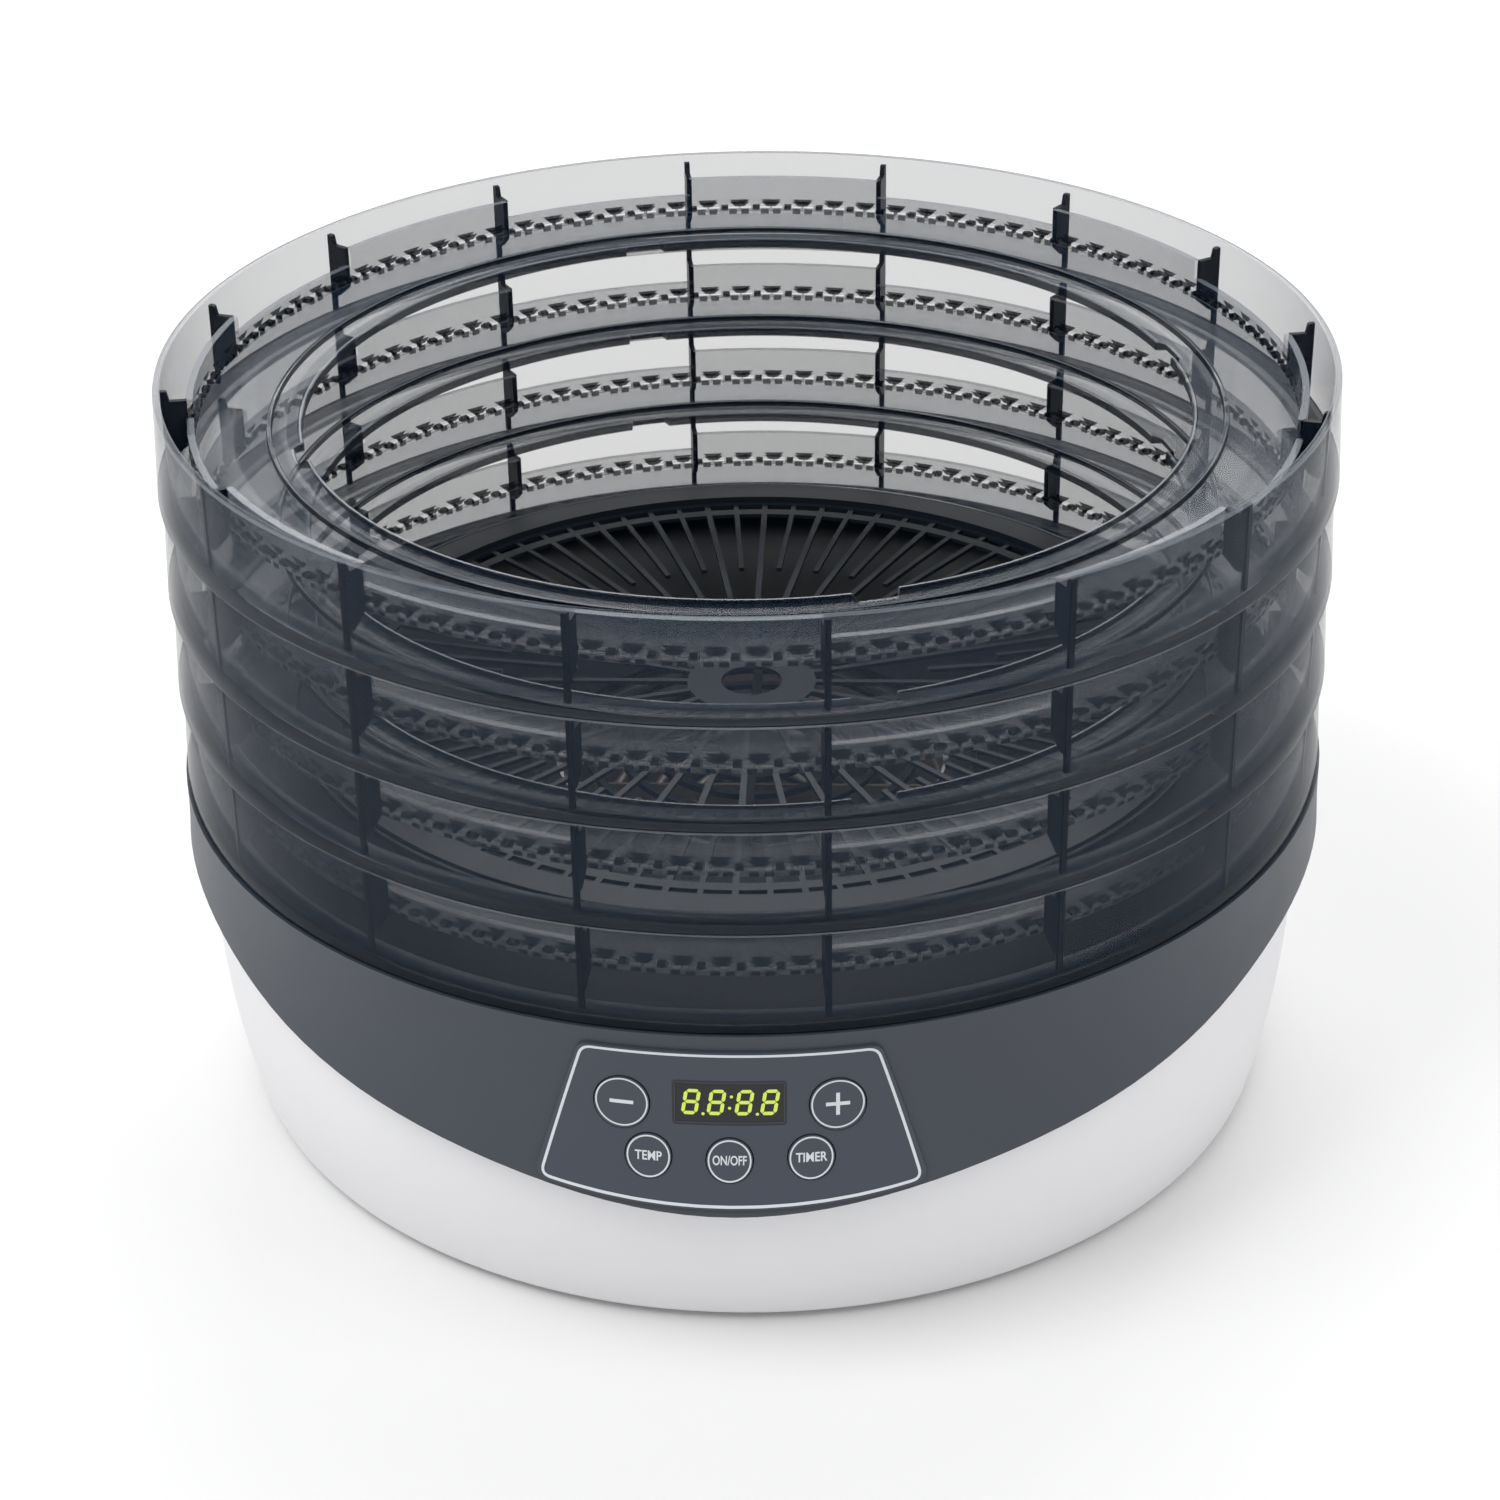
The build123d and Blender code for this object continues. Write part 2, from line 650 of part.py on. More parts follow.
with BuildPart() as rack:
    with BuildSketch(Plane.XY.offset(RACK_REST - RACK_DROP)):
        for ring in RACK_RINGS:
            Circle(ring + 1.8)
            Circle(ring - 1.8, mode=Mode.SUBTRACT)
        with PolarLocations(0, 20):
            with Locations((70, 0)):
                Rectangle(106, 1.8)
        with PolarLocations(0, 20, start_angle=9.0):
            with Locations((88, 0)):
                Rectangle(70, 1.8)
        with PolarLocations(0, 40, start_angle=4.5):
            with Locations((99, 0)):
                Rectangle(48, 1.6)
        Circle(19.0)
        Circle(9.0, mode=Mode.SUBTRACT)
    extrude(amount=1.2)
    with BuildSketch(Plane.XZ):
        with BuildLine():
            Polyline(
                (RACK_RADIUS - 3.4, RACK_REST - RACK_DROP),
                (RACK_RADIUS, RACK_REST - RACK_DROP),
                (RACK_RADIUS, RACK_REST),
                (RACK_FLANGE, RACK_REST),
                (RACK_FLANGE, RACK_REST + 1.0),
                (RACK_RADIUS - 1.4, RACK_REST + 1.0),
                (RACK_RADIUS - 1.4, RACK_REST - RACK_DROP + 1.2),
                (RACK_RADIUS - 3.4, RACK_REST - RACK_DROP + 1.2),
                close=True,
            )
        make_face()
    revolve(axis=Axis.Z)
rack.part.label = "rack"
export_step(rack.part, "parts/rack.step")
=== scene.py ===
from math import cos, pi, radians, sin, sqrt

import bpy
from mathutils import Matrix, Vector
from mathutils.bvhtree import BVHTree


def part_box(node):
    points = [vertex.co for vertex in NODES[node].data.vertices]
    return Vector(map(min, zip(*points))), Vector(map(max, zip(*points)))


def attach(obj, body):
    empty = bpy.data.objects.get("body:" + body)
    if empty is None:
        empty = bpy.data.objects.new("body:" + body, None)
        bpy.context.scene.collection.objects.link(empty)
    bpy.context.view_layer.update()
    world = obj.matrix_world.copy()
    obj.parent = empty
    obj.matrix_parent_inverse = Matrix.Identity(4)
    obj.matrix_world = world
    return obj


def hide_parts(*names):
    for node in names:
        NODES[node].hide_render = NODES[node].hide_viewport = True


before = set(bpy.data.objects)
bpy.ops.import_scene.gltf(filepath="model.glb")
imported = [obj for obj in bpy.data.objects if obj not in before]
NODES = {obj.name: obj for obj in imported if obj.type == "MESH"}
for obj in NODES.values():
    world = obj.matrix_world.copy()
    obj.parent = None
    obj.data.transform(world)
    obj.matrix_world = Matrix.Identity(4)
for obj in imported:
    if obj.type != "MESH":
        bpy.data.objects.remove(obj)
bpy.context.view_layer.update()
MM = 0.001

# ------------------------------------------------------------------ camera

YAW = radians(2.55)
PITCH = radians(29.43)
ROLL = radians(0.888)
FOCAL_LENGTH = 80.45
SENSOR_WIDTH = 36.0
CAMERA_AT = (0.0381, -0.8733, 0.5849)

forward = Vector((-sin(YAW) * cos(PITCH), cos(YAW) * cos(PITCH), -sin(PITCH)))
level = Vector((cos(YAW), sin(YAW), 0.0))
raised = level.cross(forward)
right = level * cos(ROLL) - raised * sin(ROLL)
up = level * sin(ROLL) + raised * cos(ROLL)
camera_data = bpy.data.cameras.new("camera")
camera_data.sensor_width = SENSOR_WIDTH
camera_data.lens = FOCAL_LENGTH
camera_data.clip_start = 0.05
camera_data.clip_end = 20.0
camera = bpy.data.objects.new("camera", camera_data)
bpy.context.scene.collection.objects.link(camera)
turn = Matrix((right, up, -forward)).transposed().to_4x4()
camera.matrix_world = Matrix.Translation(CAMERA_AT) @ turn
bpy.context.scene.camera = camera

scene = bpy.context.scene
scene.view_settings.view_transform = "Standard"
scene.cycles.transparent_max_bounces = 40

# ------------------------------------------------------------------ materials


def material(name):
    """A node material with a Principled shader, and short ways to add to it."""
    m = bpy.data.materials.new(name)
    m.use_nodes = True
    return m, m.node_tree, m.node_tree.nodes["Principled BSDF"]


def noise(tree, scale, detail=4.0, roughness=0.5, stretch=(1, 1, 1)):
    coords = tree.nodes.new("ShaderNodeTexCoord")
    mapping = tree.nodes.new("ShaderNodeMapping")
    mapping.inputs["Scale"].default_value = stretch
    texture = tree.nodes.new("ShaderNodeTexNoise")
    texture.inputs["Scale"].default_value = scale
    texture.inputs["Detail"].default_value = detail
    texture.inputs["Roughness"].default_value = roughness
    tree.links.new(coords.outputs["Object"], mapping.inputs["Vector"])
    tree.links.new(mapping.outputs["Vector"], texture.inputs["Vector"])
    return texture.outputs["Fac"]


def ramp(tree, factor, stops):
    node = tree.nodes.new("ShaderNodeValToRGB")
    while len(node.color_ramp.elements) < len(stops):
        node.color_ramp.elements.new(0.5)
    for element, (place, colour) in zip(node.color_ramp.elements, stops):
        element.position = place
        element.color = colour if len(colour) == 4 else (*colour, 1.0)
    tree.links.new(factor, node.inputs["Fac"])
    return node.outputs["Color"]


def scaled(tree, factor, low, high):
    node = tree.nodes.new("ShaderNodeMapRange")
    node.inputs["To Min"].default_value = low
    node.inputs["To Max"].default_value = high
    tree.links.new(factor, node.inputs["Value"])
    return node.outputs["Result"]


def bump(tree, shader, height, strength, distance):
    node = tree.nodes.new("ShaderNodeBump")
    node.inputs["Strength"].default_value = strength
    node.inputs["Distance"].default_value = distance
    tree.links.new(height, node.inputs["Height"])
    tree.links.new(node.outputs["Normal"], shader.inputs["Normal"])


def moulded(name, colour, roughness, grain=900.0, depth=0.15, spread=0.06, gloss=0.45):
    """Moulded plastic: a fine spark-eroded grain, faint mottling, uneven gloss."""
    m, tree, shader = material(name)
    shader.inputs["Specular IOR Level"].default_value = gloss
    low = tuple(c * (1 - spread) for c in colour)
    high = tuple(min(1.0, c * (1 + spread)) for c in colour)
    mottle = noise(tree, 14.0, 5.0, 0.6)
    tree.links.new(ramp(tree, mottle, [(0.3, low), (0.7, high)]), shader.inputs["Base Color"])
    uneven = scaled(tree, noise(tree, 45.0, 3.0), roughness - 0.05, roughness + 0.07)
    tree.links.new(uneven, shader.inputs["Roughness"])
    bump(tree, shader, noise(tree, grain, 2.0), depth, 0.0002)
    return m


def smoked(name, colour, face_alpha, edge_alpha, roughness=0.08, gloss=0.3):
    """Smoke-tinted clear plastic, denser where it is seen along its surface."""
    m, tree, shader = material(name)
    shader.inputs["IOR"].default_value = 1.5
    shader.inputs["Specular IOR Level"].default_value = gloss
    low = tuple(c * 0.9 for c in colour)
    mottle = noise(tree, 18.0, 3.0)
    tree.links.new(ramp(tree, mottle, [(0.3, low), (0.7, colour)]), shader.inputs["Base Color"])
    streak = noise(tree, 60.0, 2.0, 0.5, (1, 1, 6))
    tree.links.new(scaled(tree, streak, roughness, roughness + 0.08), shader.inputs["Roughness"])
    facing = tree.nodes.new("ShaderNodeLayerWeight")
    facing.inputs["Blend"].default_value = 0.5
    power = tree.nodes.new("ShaderNodeMath")
    power.operation = "POWER"
    power.inputs[1].default_value = 3.2
    tree.links.new(facing.outputs["Facing"], power.inputs[0])
    density = scaled(tree, power.outputs["Value"], face_alpha, edge_alpha)
    tree.links.new(density, shader.inputs["Alpha"])
    bump(tree, shader, noise(tree, 25.0, 2.0), 0.04, 0.0003)
    return m


def metal(name, colour, roughness, stretch=(1, 1, 40)):
    """Bare metal with fine lines from rolling or drawing."""
    m, tree, shader = material(name)
    shader.inputs["Metallic"].default_value = 1.0
    lines = noise(tree, 120.0, 3.0, 0.5, stretch)
    low = tuple(c * 0.85 for c in colour)
    tree.links.new(ramp(tree, lines, [(0.3, low), (0.7, colour)]), shader.inputs["Base Color"])
    tree.links.new(scaled(tree, lines, roughness - 0.08, roughness + 0.1), shader.inputs["Roughness"])
    bump(tree, shader, lines, 0.12, 0.0003)
    return m


WHITE = moulded("white_shell", (0.70, 0.70, 0.715), 0.38, 1100.0, 0.08, 0.015)
COLLAR = moulded("collar_plastic", (0.034, 0.042, 0.055), 0.42, 1000.0, 0.18, 0.05)
PANEL = moulded("keypad_film", (0.036, 0.045, 0.064), 0.46, 1400.0, 0.10, 0.04)
KEY = moulded("key_film", (0.037, 0.046, 0.065), 0.44, 1400.0, 0.10, 0.04)
LENS = moulded("display_lens", (0.006, 0.006, 0.008), 0.12, 300.0, 0.02, 0.2)
BLACK = moulded("black_plastic", (0.012, 0.013, 0.015), 0.45, 800.0, 0.15, 0.1)
GRATE = moulded("rack_plastic", (0.008, 0.012, 0.018), 0.36, 700.0, 0.10, 0.1, 0.2)
DECK = moulded("deck_plastic", (0.004, 0.006, 0.009), 0.45, 800.0, 0.12, 0.1, 0.12)
RUBBER = moulded("foot_rubber", (0.018, 0.018, 0.019), 0.75, 600.0, 0.3, 0.1)
INK = moulded("key_ink", (0.56, 0.58, 0.61), 0.55, 1600.0, 0.08, 0.03)
BOARD = moulded("circuit_board", (0.02, 0.16, 0.06), 0.35, 500.0, 0.1, 0.15)
MICA = moulded("mica_sheet", (0.17, 0.14, 0.10), 0.5, 240.0, 0.2, 0.12)
WINDING = moulded("transformer_winding", (0.20, 0.12, 0.05), 0.5, 260.0, 0.3, 0.15)
CABLE = moulded("cable_grey", (0.40, 0.40, 0.42), 0.5, 500.0, 0.15, 0.05)
STEEL = metal("steel", (0.55, 0.55, 0.56), 0.32)
SHEET = metal("duct_sheet", (0.72, 0.72, 0.73), 0.35, (1, 1, 20))
WIRE = metal("heater_wire", (0.42, 0.38, 0.35), 0.4, (8, 8, 8))
SMOKE = smoked("smoke_clear", (0.010, 0.023, 0.044), 0.24, 0.66)
# denser smoke: the ribs, and painted shade on the seams' undersides, ridge sides, slot sides and vent
# pockets
SMOKE_THICK_AND_SHADE = smoked("smoke_clear_thick_and_painted_shade", (0.003, 0.007, 0.014), 0.90, 0.97, 0.25, 0.1)
# lighter, more opaque smoke: painted highlights on rims, ridge tops and edges
SMOKE_HIGHLIGHT = smoked("smoke_clear_painted_highlight", (0.19, 0.215, 0.25), 0.50, 0.85, 0.12, 0.5)

LOOKS = {
    "lower_housing": WHITE, "bottom_cover": WHITE, "collar": COLLAR,
    "control_panel": PANEL, "display_window": LENS, "display_module": BLACK,
    "control_board": BOARD, "power_board": BOARD, "tact_switches": BLACK,
    "relay": BLACK, "transformer": WINDING, "ribbon_cable": CABLE,
    "board_screws": STEEL, "housing_screws": STEEL, "motor_body": STEEL,
    "motor_shaft": STEEL, "temperature_sensor": STEEL, "air_duct": SHEET,
    "heater_frame": MICA, "heater_coil": WIRE, "thermal_cutout": MICA,
    "fan": BLACK, "outlet_grille": DECK, "inner_deck": DECK, "rack": GRATE, "feet": RUBBER,
    "cord_bush": RUBBER,
}
KEYS = ("minus", "plus", "temperature", "power", "timer")
LOOKS.update({"button_" + key: KEY for key in KEYS})
for node, look in LOOKS.items():
    NODES[node].data.materials.clear()
    NODES[node].data.materials.append(look)

# ------------------------------------------------------------------ mesh tools


def mesh_object(name, vertices, faces, looks, sharp=35.0):
    """An object in metres from vertices in mm, smooth up to an edge angle."""
    mesh = bpy.data.meshes.new(name)
    mesh.from_pydata([tuple(c * MM for c in v) for v in vertices], [], faces)
    mesh.update()
    mesh.shade_smooth()
    mesh.set_sharp_from_angle(angle=radians(sharp))
    for look in looks:
        mesh.materials.append(look)
    obj = bpy.data.objects.new(name, mesh)
    bpy.context.scene.collection.objects.link(obj)
    return obj


def lathe(profile, count, vertices, faces, looks, paint, shape=None):
    """Adds a closed profile of (radius, height) turned round the Z axis.
    shape moves a point of it, and paint gives the material number of a face
    from its step round the axis and its place in the profile."""
    first = len(vertices)
    size = len(profile)
    for step in range(count):
        angle = RIB_PHASE + 2 * pi * step / count
        for r, z in profile:
            if shape:
                r, z = shape(angle, r, z)
            vertices.append((r * cos(angle), r * sin(angle), z))
    for step in range(count):
        here = first + step * size
        there = first + ((step + 1) % count) * size
        for i in range(size):
            j = (i + 1) % size
            faces.append((here + i, there + i, there + j, here + j))
            looks[len(faces) - 1] = paint(step, i)


def polar(r, angle, z):
    return (r * cos(angle), r * sin(angle), z)


def prism(profile, angle, half, vertices, faces):
    """Adds a plate lying in a radial plane, from its (radius, height) outline."""
    first = len(vertices)
    size = len(profile)
    for side in (-half, half):
        for r, z in profile:
            x = r * cos(angle) - side * sin(angle)
            y = r * sin(angle) + side * cos(angle)
            vertices.append((x, y, z))
    faces.append(tuple(first + i for i in reversed(range(size))))
    faces.append(tuple(first + size + i for i in range(size)))
    for i in range(size):
        j = (i + 1) % size
        faces.append((first + i, first + j, first + size + j, first + size + i))


# ------------------------------------------------------------------ trays

SECTORS = 16  # one rib in each
SECTOR = 2 * pi / SECTORS
CELLS = 6  # openings of the vent band in each sector
STEPS = 8  # divisions of the shelf in each opening
WALL_STEPS = 288
RIB_PHASE = radians(-81.0)
RIB_THICK = 1.6
NOTCH_PHASE = radians(17.0)
NOTCH_HALF = radians(2.6)
NOTCH_DEEP = 3.0
LIP_OUTER = 128.5  # every point of the opening's edge is inside this radius
RIM = 29.8  # height of the rim over the foot of the wall
SHELF = 13.3
RING_RADII = (154.6, 156.6)

CLEAR, THICK_AND_SHADE, PAINTED_HIGHLIGHT = 0, 1, 2  # material numbers of a tray: plain clear; thick smoke, also used for painted shade; lighter smoke for painted highlights

WALL_PROFILE = [
    (157.0, 0.2), (157.2, 0.0), (159.0, 0.0), (159.0, -1.6), (159.4, -2.0), (160.8, -2.0),
    (161.2, -1.6), (161.2, 0.0), (165.7, 0.0), (166.15, 0.25), (166.38, 0.8), (166.15, 6.0),
    (165.8, 14.0), (165.4, 22.0), (165.15, 28.9), (165.0, 29.45), (164.6, 29.75), (164.0, 29.8),
    (163.5, 29.75), (163.1, 29.5), (163.0, 29.0), (163.0, 16.0), (163.0, 2.8), (162.8, 2.2),
    (162.2, 2.0), (157.3, 2.0), (157.0, 1.7),
]
SHELF_PROFILE = [
    (125.2, 11.8), (125.5, 11.5), (140.0, 11.5), (156.3, 11.5), (156.6, 11.8), (156.6, 13.1),
    (154.6, 13.3), (145.0, 13.3), (135.5, 13.3), (135.2, 13.5), (134.95, 15.0), (134.6, 15.3),
    (134.1, 15.3), (133.8, 15.0), (133.55, 13.5), (133.2, 13.3), (126.8, 13.3), (126.5, 13.5),
    (126.4, 14.2), (126.1, 14.5), (125.5, 14.5), (125.2, 14.2),
]
RIB_PROFILE = [
    (156.2, 11.5), (156.2, 24.3), (160.9, 24.3), (161.5, 27.0), (162.0, 27.3), (163.3, 27.3),
    (163.3, 2.6), (162.2, 2.6), (162.2, 7.8), (160.5, 7.8),
]


# places in the two profiles whose faces are not plain clear: painted highlights and painted shade
# rounded rim edges and the flange's inner edge, in lighter smoke as painted highlight
WALL_HIGHLIGHT = (14, 15, 18, 26)
# the skirt's underside, darkened as the seam's shadow line: painted shade
WALL_SHADE = (7, 8, 9)
# ridge tops and the lip's top, in lighter smoke as painted highlight
SHELF_HIGHLIGHT = (10, 12, 19)
# ridge sides and the lip's inner face, in dense smoke as painted shade
SHELF_SHADE = (9, 13, 21)
# the shelf's outer face behind the slots, in dense smoke as painted shade
SHELF_OUTSIDE = (3, 4)
SHELF_SLOTS = (1, 2, 4, 5)  # steps under the two slots of a cell


def wall_paint(step, i):
    if i in WALL_HIGHLIGHT:
        return PAINTED_HIGHLIGHT
    return THICK_AND_SHADE if i in WALL_SHADE else CLEAR


def shelf_paint(step, i):
    if i in SHELF_HIGHLIGHT:
        return PAINTED_HIGHLIGHT
    if i in SHELF_OUTSIDE:
        return THICK_AND_SHADE if step % STEPS in SHELF_SLOTS else CLEAR
    return THICK_AND_SHADE if i in SHELF_SHADE else CLEAR


def notched(angle, r, z):
    """Draws the edge of the opening back at its four notches."""
    if r > LIP_OUTER:
        return r, z
    near = (angle - NOTCH_PHASE + pi / 4) % (pi / 2) - pi / 4
    if abs(near) < NOTCH_HALF:
        return r + NOTCH_DEEP, min(z, SHELF)
    return r, z


# heights of the vent band, and the two heights of its stepped top
BAND_FOOT, SLOT_FOOT, SLOT_HEAD, BAND_HEAD = 13.1, 13.45, 14.65, 16.3
STEP_LOW, STEP_HIGH = 18.8, 24.3

# edges across one cell, as shares of its width
WHOLE = (0.0, 1.0)
SLOT_EDGES = (0.0, 0.06, 0.39, 0.45, 0.78, 1.0)
POCKET_FOOT = (0.0, 0.28, 0.56, 1.0)
POCKET_HEAD = (0.0, 0.10, 0.74, 1.0)


def vent_ring(vertices, faces, looks):
    """Adds the ring at the shelf's outer edge: pairs of slots with a flared
    pocket over each pair, drawn flat in painted shade, and a stepped top; its foot strip and top edge
    carry painted highlights."""
    period = SECTOR / CELLS

    def add(face, look):
        faces.append(face)
        looks[len(faces) - 1] = look

    def panel(left, foot, foot_z, head, head_z, i, look):
        """Adds piece i of a row to both faces of the ring; returns its corners."""
        outline = (
            (foot[i], foot_z), (foot[i + 1], foot_z), (head[i + 1], head_z), (head[i], head_z),
        )
        rings = []
        for r in RING_RADII:
            first = len(vertices)
            vertices.extend(polar(r, left + period * t, z) for t, z in outline)
            rings.append(tuple(range(first, first + 4)))
        inner, outer = rings
        add(tuple(reversed(inner)), look)
        add(outer, look)
        return inner, outer

    def side(rings, a, b, look):
        """Joins the two faces of a panel along one of its sides."""
        inner, outer = rings
        add((inner[a], inner[b], outer[b], outer[a]), look)

    for sector in range(SECTORS):
        top = STEP_HIGH if sector % 2 else STEP_LOW
        for cell in range(CELLS):
            left = RIB_PHASE + sector * SECTOR + cell * period
            # the strip along the foot of the band is in lighter smoke: painted highlight
            panel(left, WHOLE, BAND_FOOT, WHOLE, SLOT_FOOT, 0, PAINTED_HIGHLIGHT)
            for i in (0, 2, 4):  # the posts beside the slots
                # the last post, where the small triangle sits, is in dense smoke as painted shade,
                # and so are the sides of every post
                look = THICK_AND_SHADE if i == 4 else CLEAR
                post = panel(left, SLOT_EDGES, SLOT_FOOT, SLOT_EDGES, SLOT_HEAD, i, look)
                side(post, 1, 2, THICK_AND_SHADE)
                side(post, 3, 0, THICK_AND_SHADE)
            # the middle of the row over the slots is the pocket: a flat panel in dense smoke as
            # painted shade
            for i in (0, 1, 2):
                look = THICK_AND_SHADE if i == 1 else CLEAR
                panel(left, POCKET_FOOT, SLOT_HEAD, POCKET_HEAD, BAND_HEAD, i, look)
            upper = panel(left, WHOLE, BAND_HEAD, WHOLE, top, 0, CLEAR)
            # the top edge of the band is in lighter smoke: painted highlight
            side(upper, 2, 3, PAINTED_HIGHLIGHT)


def tray_mesh():
    """One tray with the foot of its wall at zero. Its ribs are the thick material, which also carries
    the painted shade; the painted highlights have a lighter material.
    """
    vertices, faces, looks = [], [], {}
    lathe(WALL_PROFILE, WALL_STEPS, vertices, faces, looks, wall_paint)
    lathe(SHELF_PROFILE, SECTORS * CELLS * STEPS, vertices, faces, looks, shelf_paint, notched)
    vent_ring(vertices, faces, looks)
    for rib in range(SECTORS):
        prism(RIB_PROFILE, RIB_PHASE + rib * SECTOR, RIB_THICK / 2, vertices, faces)
    obj = mesh_object("tray_pattern", vertices, faces, [SMOKE, SMOKE_THICK_AND_SHADE, SMOKE_HIGHLIGHT])
    for polygon in obj.data.polygons:
        polygon.material_index = looks.get(polygon.index, THICK_AND_SHADE)
    return obj


pattern = tray_mesh()
for number in range(1, 5):
    low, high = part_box(f"tray_{number}")
    piece = bpy.data.objects.new(f"tray_{number}_moulding", pattern.data)
    bpy.context.scene.collection.objects.link(piece)
    piece.location = (0, 0, high.z - RIM * MM)
    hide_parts(f"tray_{number}")
    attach(piece, f"tray_{number}_body")
bpy.data.objects.remove(pattern)

# ------------------------------------------------------------------ prints

RAY_START = 400.0  # in front of the whole machine
LEAN = radians(13)  # of the keys from upright
PRINT_LIFT = 0.06


def front_of(node):
    """A function that lays a point (x, z) in mm on a node's front, lifted off it."""
    mesh = NODES[node].data
    corners = [v.co.copy() for v in mesh.vertices]
    tree = BVHTree.FromPolygons(corners, [tuple(p.vertices) for p in mesh.polygons])

    def place(x, z, lift):
        start = Vector((x * MM, -RAY_START * MM, z * MM))
        point, normal, _, _ = tree.ray_cast(start, Vector((0, 1, 0)))
        if normal.y > 0:
            normal = -normal
        return point / MM + normal * lift

    return place


def ribbon(vertices, faces, place, path, width, lift, closed=False):
    """Adds a flat stripe along a path of (x, z) points laid on a surface."""
    first = len(vertices)
    count = len(path)
    for i, (x, z) in enumerate(path):
        ax, az = path[(i - 1) % count] if closed or i else path[0]
        bx, bz = path[(i + 1) % count] if closed or i < count - 1 else path[-1]
        length = sqrt((bx - ax) ** 2 + (bz - az) ** 2)
        nx, nz = -(bz - az) / length, (bx - ax) / length
        for side in (0.5, -0.5):
            vertices.append(tuple(place(x + nx * width * side, z + nz * width * side, lift)))
    for i in range(count if closed else count - 1):
        j = (i + 1) % count
        faces.append((first + 2 * i, first + 2 * i + 1, first + 2 * j + 1, first + 2 * j))


def divided(points, step=1.5, closed=False):
    """The same path with more points on its straight runs."""
    out = []
    count = len(points)
    for i in range(count if closed else count - 1):
        a, b = points[i], points[(i + 1) % count]
        run_x, run_z = b[0] - a[0], b[1] - a[1]
        parts = max(1, int(sqrt(run_x ** 2 + run_z ** 2) / step))
        out += [(a[0] + run_x * k / parts, a[1] + run_z * k / parts) for k in range(parts)]
    return out if closed else out + [points[-1]]


def bend(before, corner, after, radius=2.6, steps=6):
    """The short curve that rounds a corner."""
    p, a, b = Vector(corner), Vector(before), Vector(after)
    start = p + (a - p).normalized() * radius
    end = p + (b - p).normalized() * radius
    out = []
    for k in range(steps + 1):
        t = k / steps
        q = start * (1 - t) ** 2 + p * 2 * t * (1 - t) + end * t ** 2
        out.append((q.x, q.y))
    return out


def rounded(points, radius):
    """A closed path with every corner rounded."""
    out = []
    for i, corner in enumerate(points):
        out += bend(points[i - 1], corner, points[(i + 1) % len(points)], radius)
    return out


def printed(name, vertices, faces, look, body):
    obj = mesh_object(name, vertices, faces, [look], 60.0)
    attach(obj, body)


BORDER_WIDTH = 0.75
BORDER_INSET = 1.1  # from the film's sides
BORDER_TOP_INSET = 0.8
BORDER_TOP_HALF = 38.0
CORNER_Z = 59.4  # where the slanting sides meet the curved lower edge
ARC_STEPS = 12
BEZEL_WIDTH = 0.5
BEZEL_GAP = 0.5

panel_at = front_of("control_panel")
panel_low, panel_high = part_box("control_panel")
top_z = panel_high.z / MM - BORDER_TOP_INSET
reach = panel_high.x / MM - BORDER_INSET
sag = CORNER_Z - BORDER_TOP_INSET - panel_low.z / MM
arc = []
for k in range(ARC_STEPS + 1):
    t = 2 * k / ARC_STEPS - 1
    arc.append((reach * t, CORNER_Z - sag * (1 - t * t)))
top_right, top_left = (BORDER_TOP_HALF, top_z), (-BORDER_TOP_HALF, top_z)
border = bend(arc[-1], top_right, top_left) + bend(top_right, top_left, arc[0])
border += bend(top_left, arc[0], arc[1]) + arc[1:-1] + bend(arc[-2], arc[-1], top_right)
vertices, faces = [], []
ribbon(vertices, faces, panel_at, divided(border, 1.2, True), BORDER_WIDTH, 0.08, True)
printed("keypad_border", vertices, faces, INK, "base")

window_low, window_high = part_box("display_window")
frame_x = window_high.x / MM + BEZEL_GAP
frame_low, frame_high = window_low.z / MM - BEZEL_GAP, window_high.z / MM + BEZEL_GAP
bezel = rounded(
    [(frame_x, frame_high), (-frame_x, frame_high), (-frame_x, frame_low), (frame_x, frame_low)],
    0.8,
)
vertices, faces = [], []
ribbon(vertices, faces, panel_at, divided(bezel, 1.5, True), BEZEL_WIDTH, PRINT_LIFT, True)
printed("display_bezel", vertices, faces, BLACK, "base")

# seven-segment digits, slanted, all segments lit
lens_at = front_of("display_window")
SLANT = 0.16
TALL, WIDE, STROKE = 7.2, 4.3, 0.95
TIP_GAP = 0.12
DIGIT_LIFT = 0.05
DIGITS_X = (-9.9, -3.3, 3.9, 10.5)
COLON_X, COLON_HALF = 0.3, 1.6
POINTS = ((-6.8, -3.3), (7.2, -3.3))
POINT_RADIUS = 0.42
middle_z = (window_low.z + window_high.z) / 2 / MM


def bar(vertices, faces, ax, az, bx, bz, x0, z0):
    """Adds one segment: a stroke with pointed ends, slanted with the digit."""
    length = sqrt((bx - ax) ** 2 + (bz - az) ** 2)
    ux, uz = (bx - ax) / length, (bz - az) / length
    h = STROKE / 2
    shoulder = h + TIP_GAP
    corners = [
        (ax + ux * TIP_GAP, az + uz * TIP_GAP),
        (ax + ux * shoulder - uz * h, az + uz * shoulder + ux * h),
        (bx - ux * shoulder - uz * h, bz - uz * shoulder + ux * h),
        (bx - ux * TIP_GAP, bz - uz * TIP_GAP),
        (bx - ux * shoulder + uz * h, bz - uz * shoulder - ux * h),
        (ax + ux * shoulder + uz * h, az + uz * shoulder - ux * h),
    ]
    first = len(vertices)
    for x, z in corners:
        vertices.append(tuple(lens_at(x0 + x + SLANT * z, z0 + z, DIGIT_LIFT)))
    faces.append(tuple(first + i for i in range(6)))


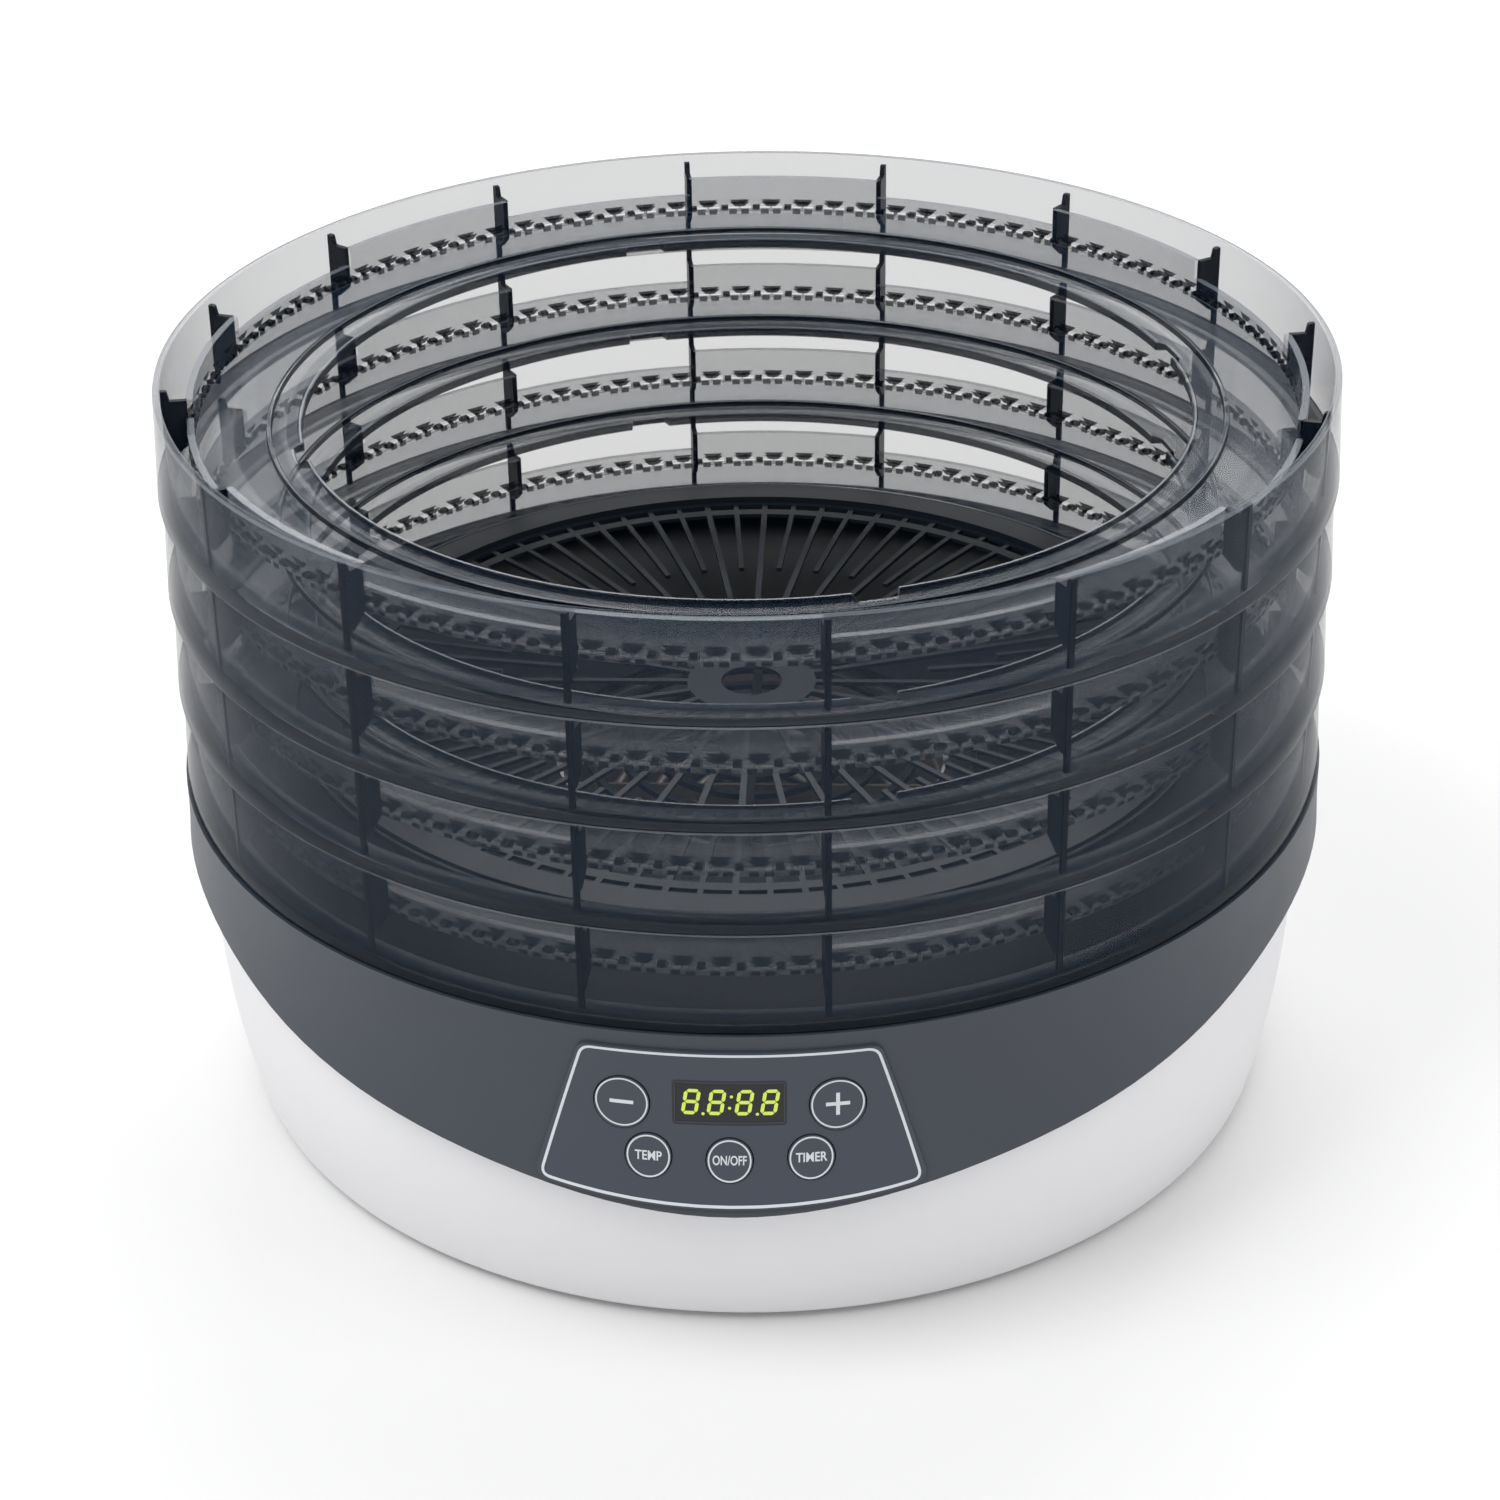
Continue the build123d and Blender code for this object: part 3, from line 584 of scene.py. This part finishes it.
def dot(vertices, faces, place, x, z, radius, lift, count=20):
    first = len(vertices)
    for k in range(count):
        a = 2 * pi * k / count
        vertices.append(tuple(place(x + radius * cos(a), z + radius * sin(a), lift)))
    faces.append(tuple(range(first, first + count)))


glow, tree, shader = material("display_glow")
flicker = ramp(tree, noise(tree, 900.0, 2.0), [(0.3, (0.30, 0.40, 0.05)), (0.7, (0.40, 0.52, 0.08))])
tree.links.new(flicker, shader.inputs["Emission Color"])
shader.inputs["Base Color"].default_value = (0.35, 0.42, 0.05, 1)
shader.inputs["Emission Strength"].default_value = 0.75
shader.inputs["Roughness"].default_value = 0.4

w, h = WIDE / 2 - STROKE / 2, TALL / 2 - STROKE / 2
SEGMENTS = (
    (-w, h, w, h), (-w, 0, w, 0), (-w, -h, w, -h),
    (-w, 0, -w, h), (w, 0, w, h), (-w, -h, -w, 0), (w, -h, w, 0),
)
COLON = (
    (COLON_X + SLANT * COLON_HALF, COLON_HALF), (COLON_X - SLANT * COLON_HALF, -COLON_HALF),
)
vertices, faces = [], []
for place_x in DIGITS_X:
    for segment in SEGMENTS:
        bar(vertices, faces, *segment, place_x, middle_z)
for x, z in COLON + POINTS:
    dot(vertices, faces, lens_at, x, middle_z + z, POINT_RADIUS, DIGIT_LIFT)
printed("display_digits", vertices, faces, glow, "base")


def lettering(vertices, faces, text, size, place, x0, z0, lift, width=1.0):
    """Adds a word, laid on a surface and centred on a point."""
    curve = bpy.data.curves.new("word", "FONT")
    curve.body = text
    curve.size = size
    curve.align_x = "CENTER"
    curve.align_y = "CENTER"
    curve.offset = 0.02 * size
    word = bpy.data.objects.new("word", curve)
    scene.collection.objects.link(word)
    bpy.context.view_layer.update()
    depsgraph = bpy.context.evaluated_depsgraph_get()
    flat = bpy.data.meshes.new_from_object(word.evaluated_get(depsgraph))
    first = len(vertices)
    for v in flat.vertices:
        vertices.append(tuple(place(x0 + v.co.x * width, z0 + v.co.y, lift)))
    for p in flat.polygons:
        faces.append(tuple(first + i for i in p.vertices))
    bpy.data.objects.remove(word)
    bpy.data.meshes.remove(flat)


WORDS = {"temperature": ("TEMP", 0.86), "power": ("ON/OFF", 0.72), "timer": ("TIMER", 0.86)}
WORD_SIZE = 3.4
RING_INSET, RING_WIDTH = 0.55, 0.42
SIGN_HALF, SIGN_WIDTH = 3.1, 1.0
CIRCLE_STEPS = 64

for key in KEYS:
    low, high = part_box("button_" + key)
    x0 = (low.x + high.x) / 2 / MM
    radius = (high.x - low.x) / 2 / MM
    z0 = high.z / MM - radius * cos(LEAN)
    at = front_of("button_" + key)
    ring = radius - RING_INSET
    circle = []
    for k in range(CIRCLE_STEPS):
        a = 2 * pi * k / CIRCLE_STEPS
        circle.append((x0 + ring * cos(a), z0 + ring * cos(LEAN) * sin(a)))
    vertices, faces = [], []
    ribbon(vertices, faces, at, circle, RING_WIDTH, PRINT_LIFT, True)
    if key in WORDS:
        text, width = WORDS[key]
        lettering(vertices, faces, text, WORD_SIZE, at, x0, z0, PRINT_LIFT, width)
    else:
        level_line = [(x0 - SIGN_HALF, z0), (x0, z0), (x0 + SIGN_HALF, z0)]
        ribbon(vertices, faces, at, level_line, SIGN_WIDTH, PRINT_LIFT)
    if key == "plus":
        upright = [(x0, z0 - SIGN_HALF), (x0, z0), (x0, z0 + SIGN_HALF)]
        ribbon(vertices, faces, at, upright, SIGN_WIDTH, 0.08)
    printed("key_print_" + key, vertices, faces, INK, "key_" + key)

# ------------------------------------------------------------------ stage

floor_mesh = bpy.data.meshes.new("floor")
FLOOR_HALF = 6.0
corners = [(-FLOOR_HALF, -FLOOR_HALF, 0), (FLOOR_HALF, -FLOOR_HALF, 0)]
corners += [(FLOOR_HALF, FLOOR_HALF, 0), (-FLOOR_HALF, FLOOR_HALF, 0)]
floor_mesh.from_pydata(corners, [], [(0, 1, 2, 3)])
floor_look, tree, shader = material("floor_look")
pale = ramp(tree, noise(tree, 3.0), [(0.3, (0.79, 0.79, 0.79)), (0.7, (0.81, 0.81, 0.81))])
tree.links.new(pale, shader.inputs["Base Color"])
shader.inputs["Roughness"].default_value = 0.7
floor_mesh.materials.append(floor_look)
floor = bpy.data.objects.new("floor", floor_mesh)
scene.collection.objects.link(floor)

world = bpy.data.worlds.new("world")
world.use_nodes = True
background = world.node_tree.nodes["Background"]
background.inputs["Color"].default_value = (1.0, 1.0, 1.0, 1.0)
background.inputs["Strength"].default_value = 0.86
scene.world = world


def lamp(name, place, aim, size, power):
    """A soft rectangular light that faces a point."""
    data = bpy.data.lights.new(name, "AREA")
    data.shape = "RECTANGLE"
    data.size, data.size_y = size
    data.energy = power
    obj = bpy.data.objects.new(name, data)
    scene.collection.objects.link(obj)
    obj.location = place
    obj.rotation_euler = (Vector(aim) - Vector(place)).to_track_quat("-Z", "Y").to_euler()


lamp("key_light", (-0.9, -0.6, 1.6), (0, 0, 0.1), (1.0, 1.0), 15)
lamp("fill_light", (1.2, -0.5, 1.2), (0, 0, 0.1), (0.8, 0.8), 4)
lamp("back_light", (0.2, 1.4, 1.3), (0, 0, 0.15), (1.6, 0.8), 14)
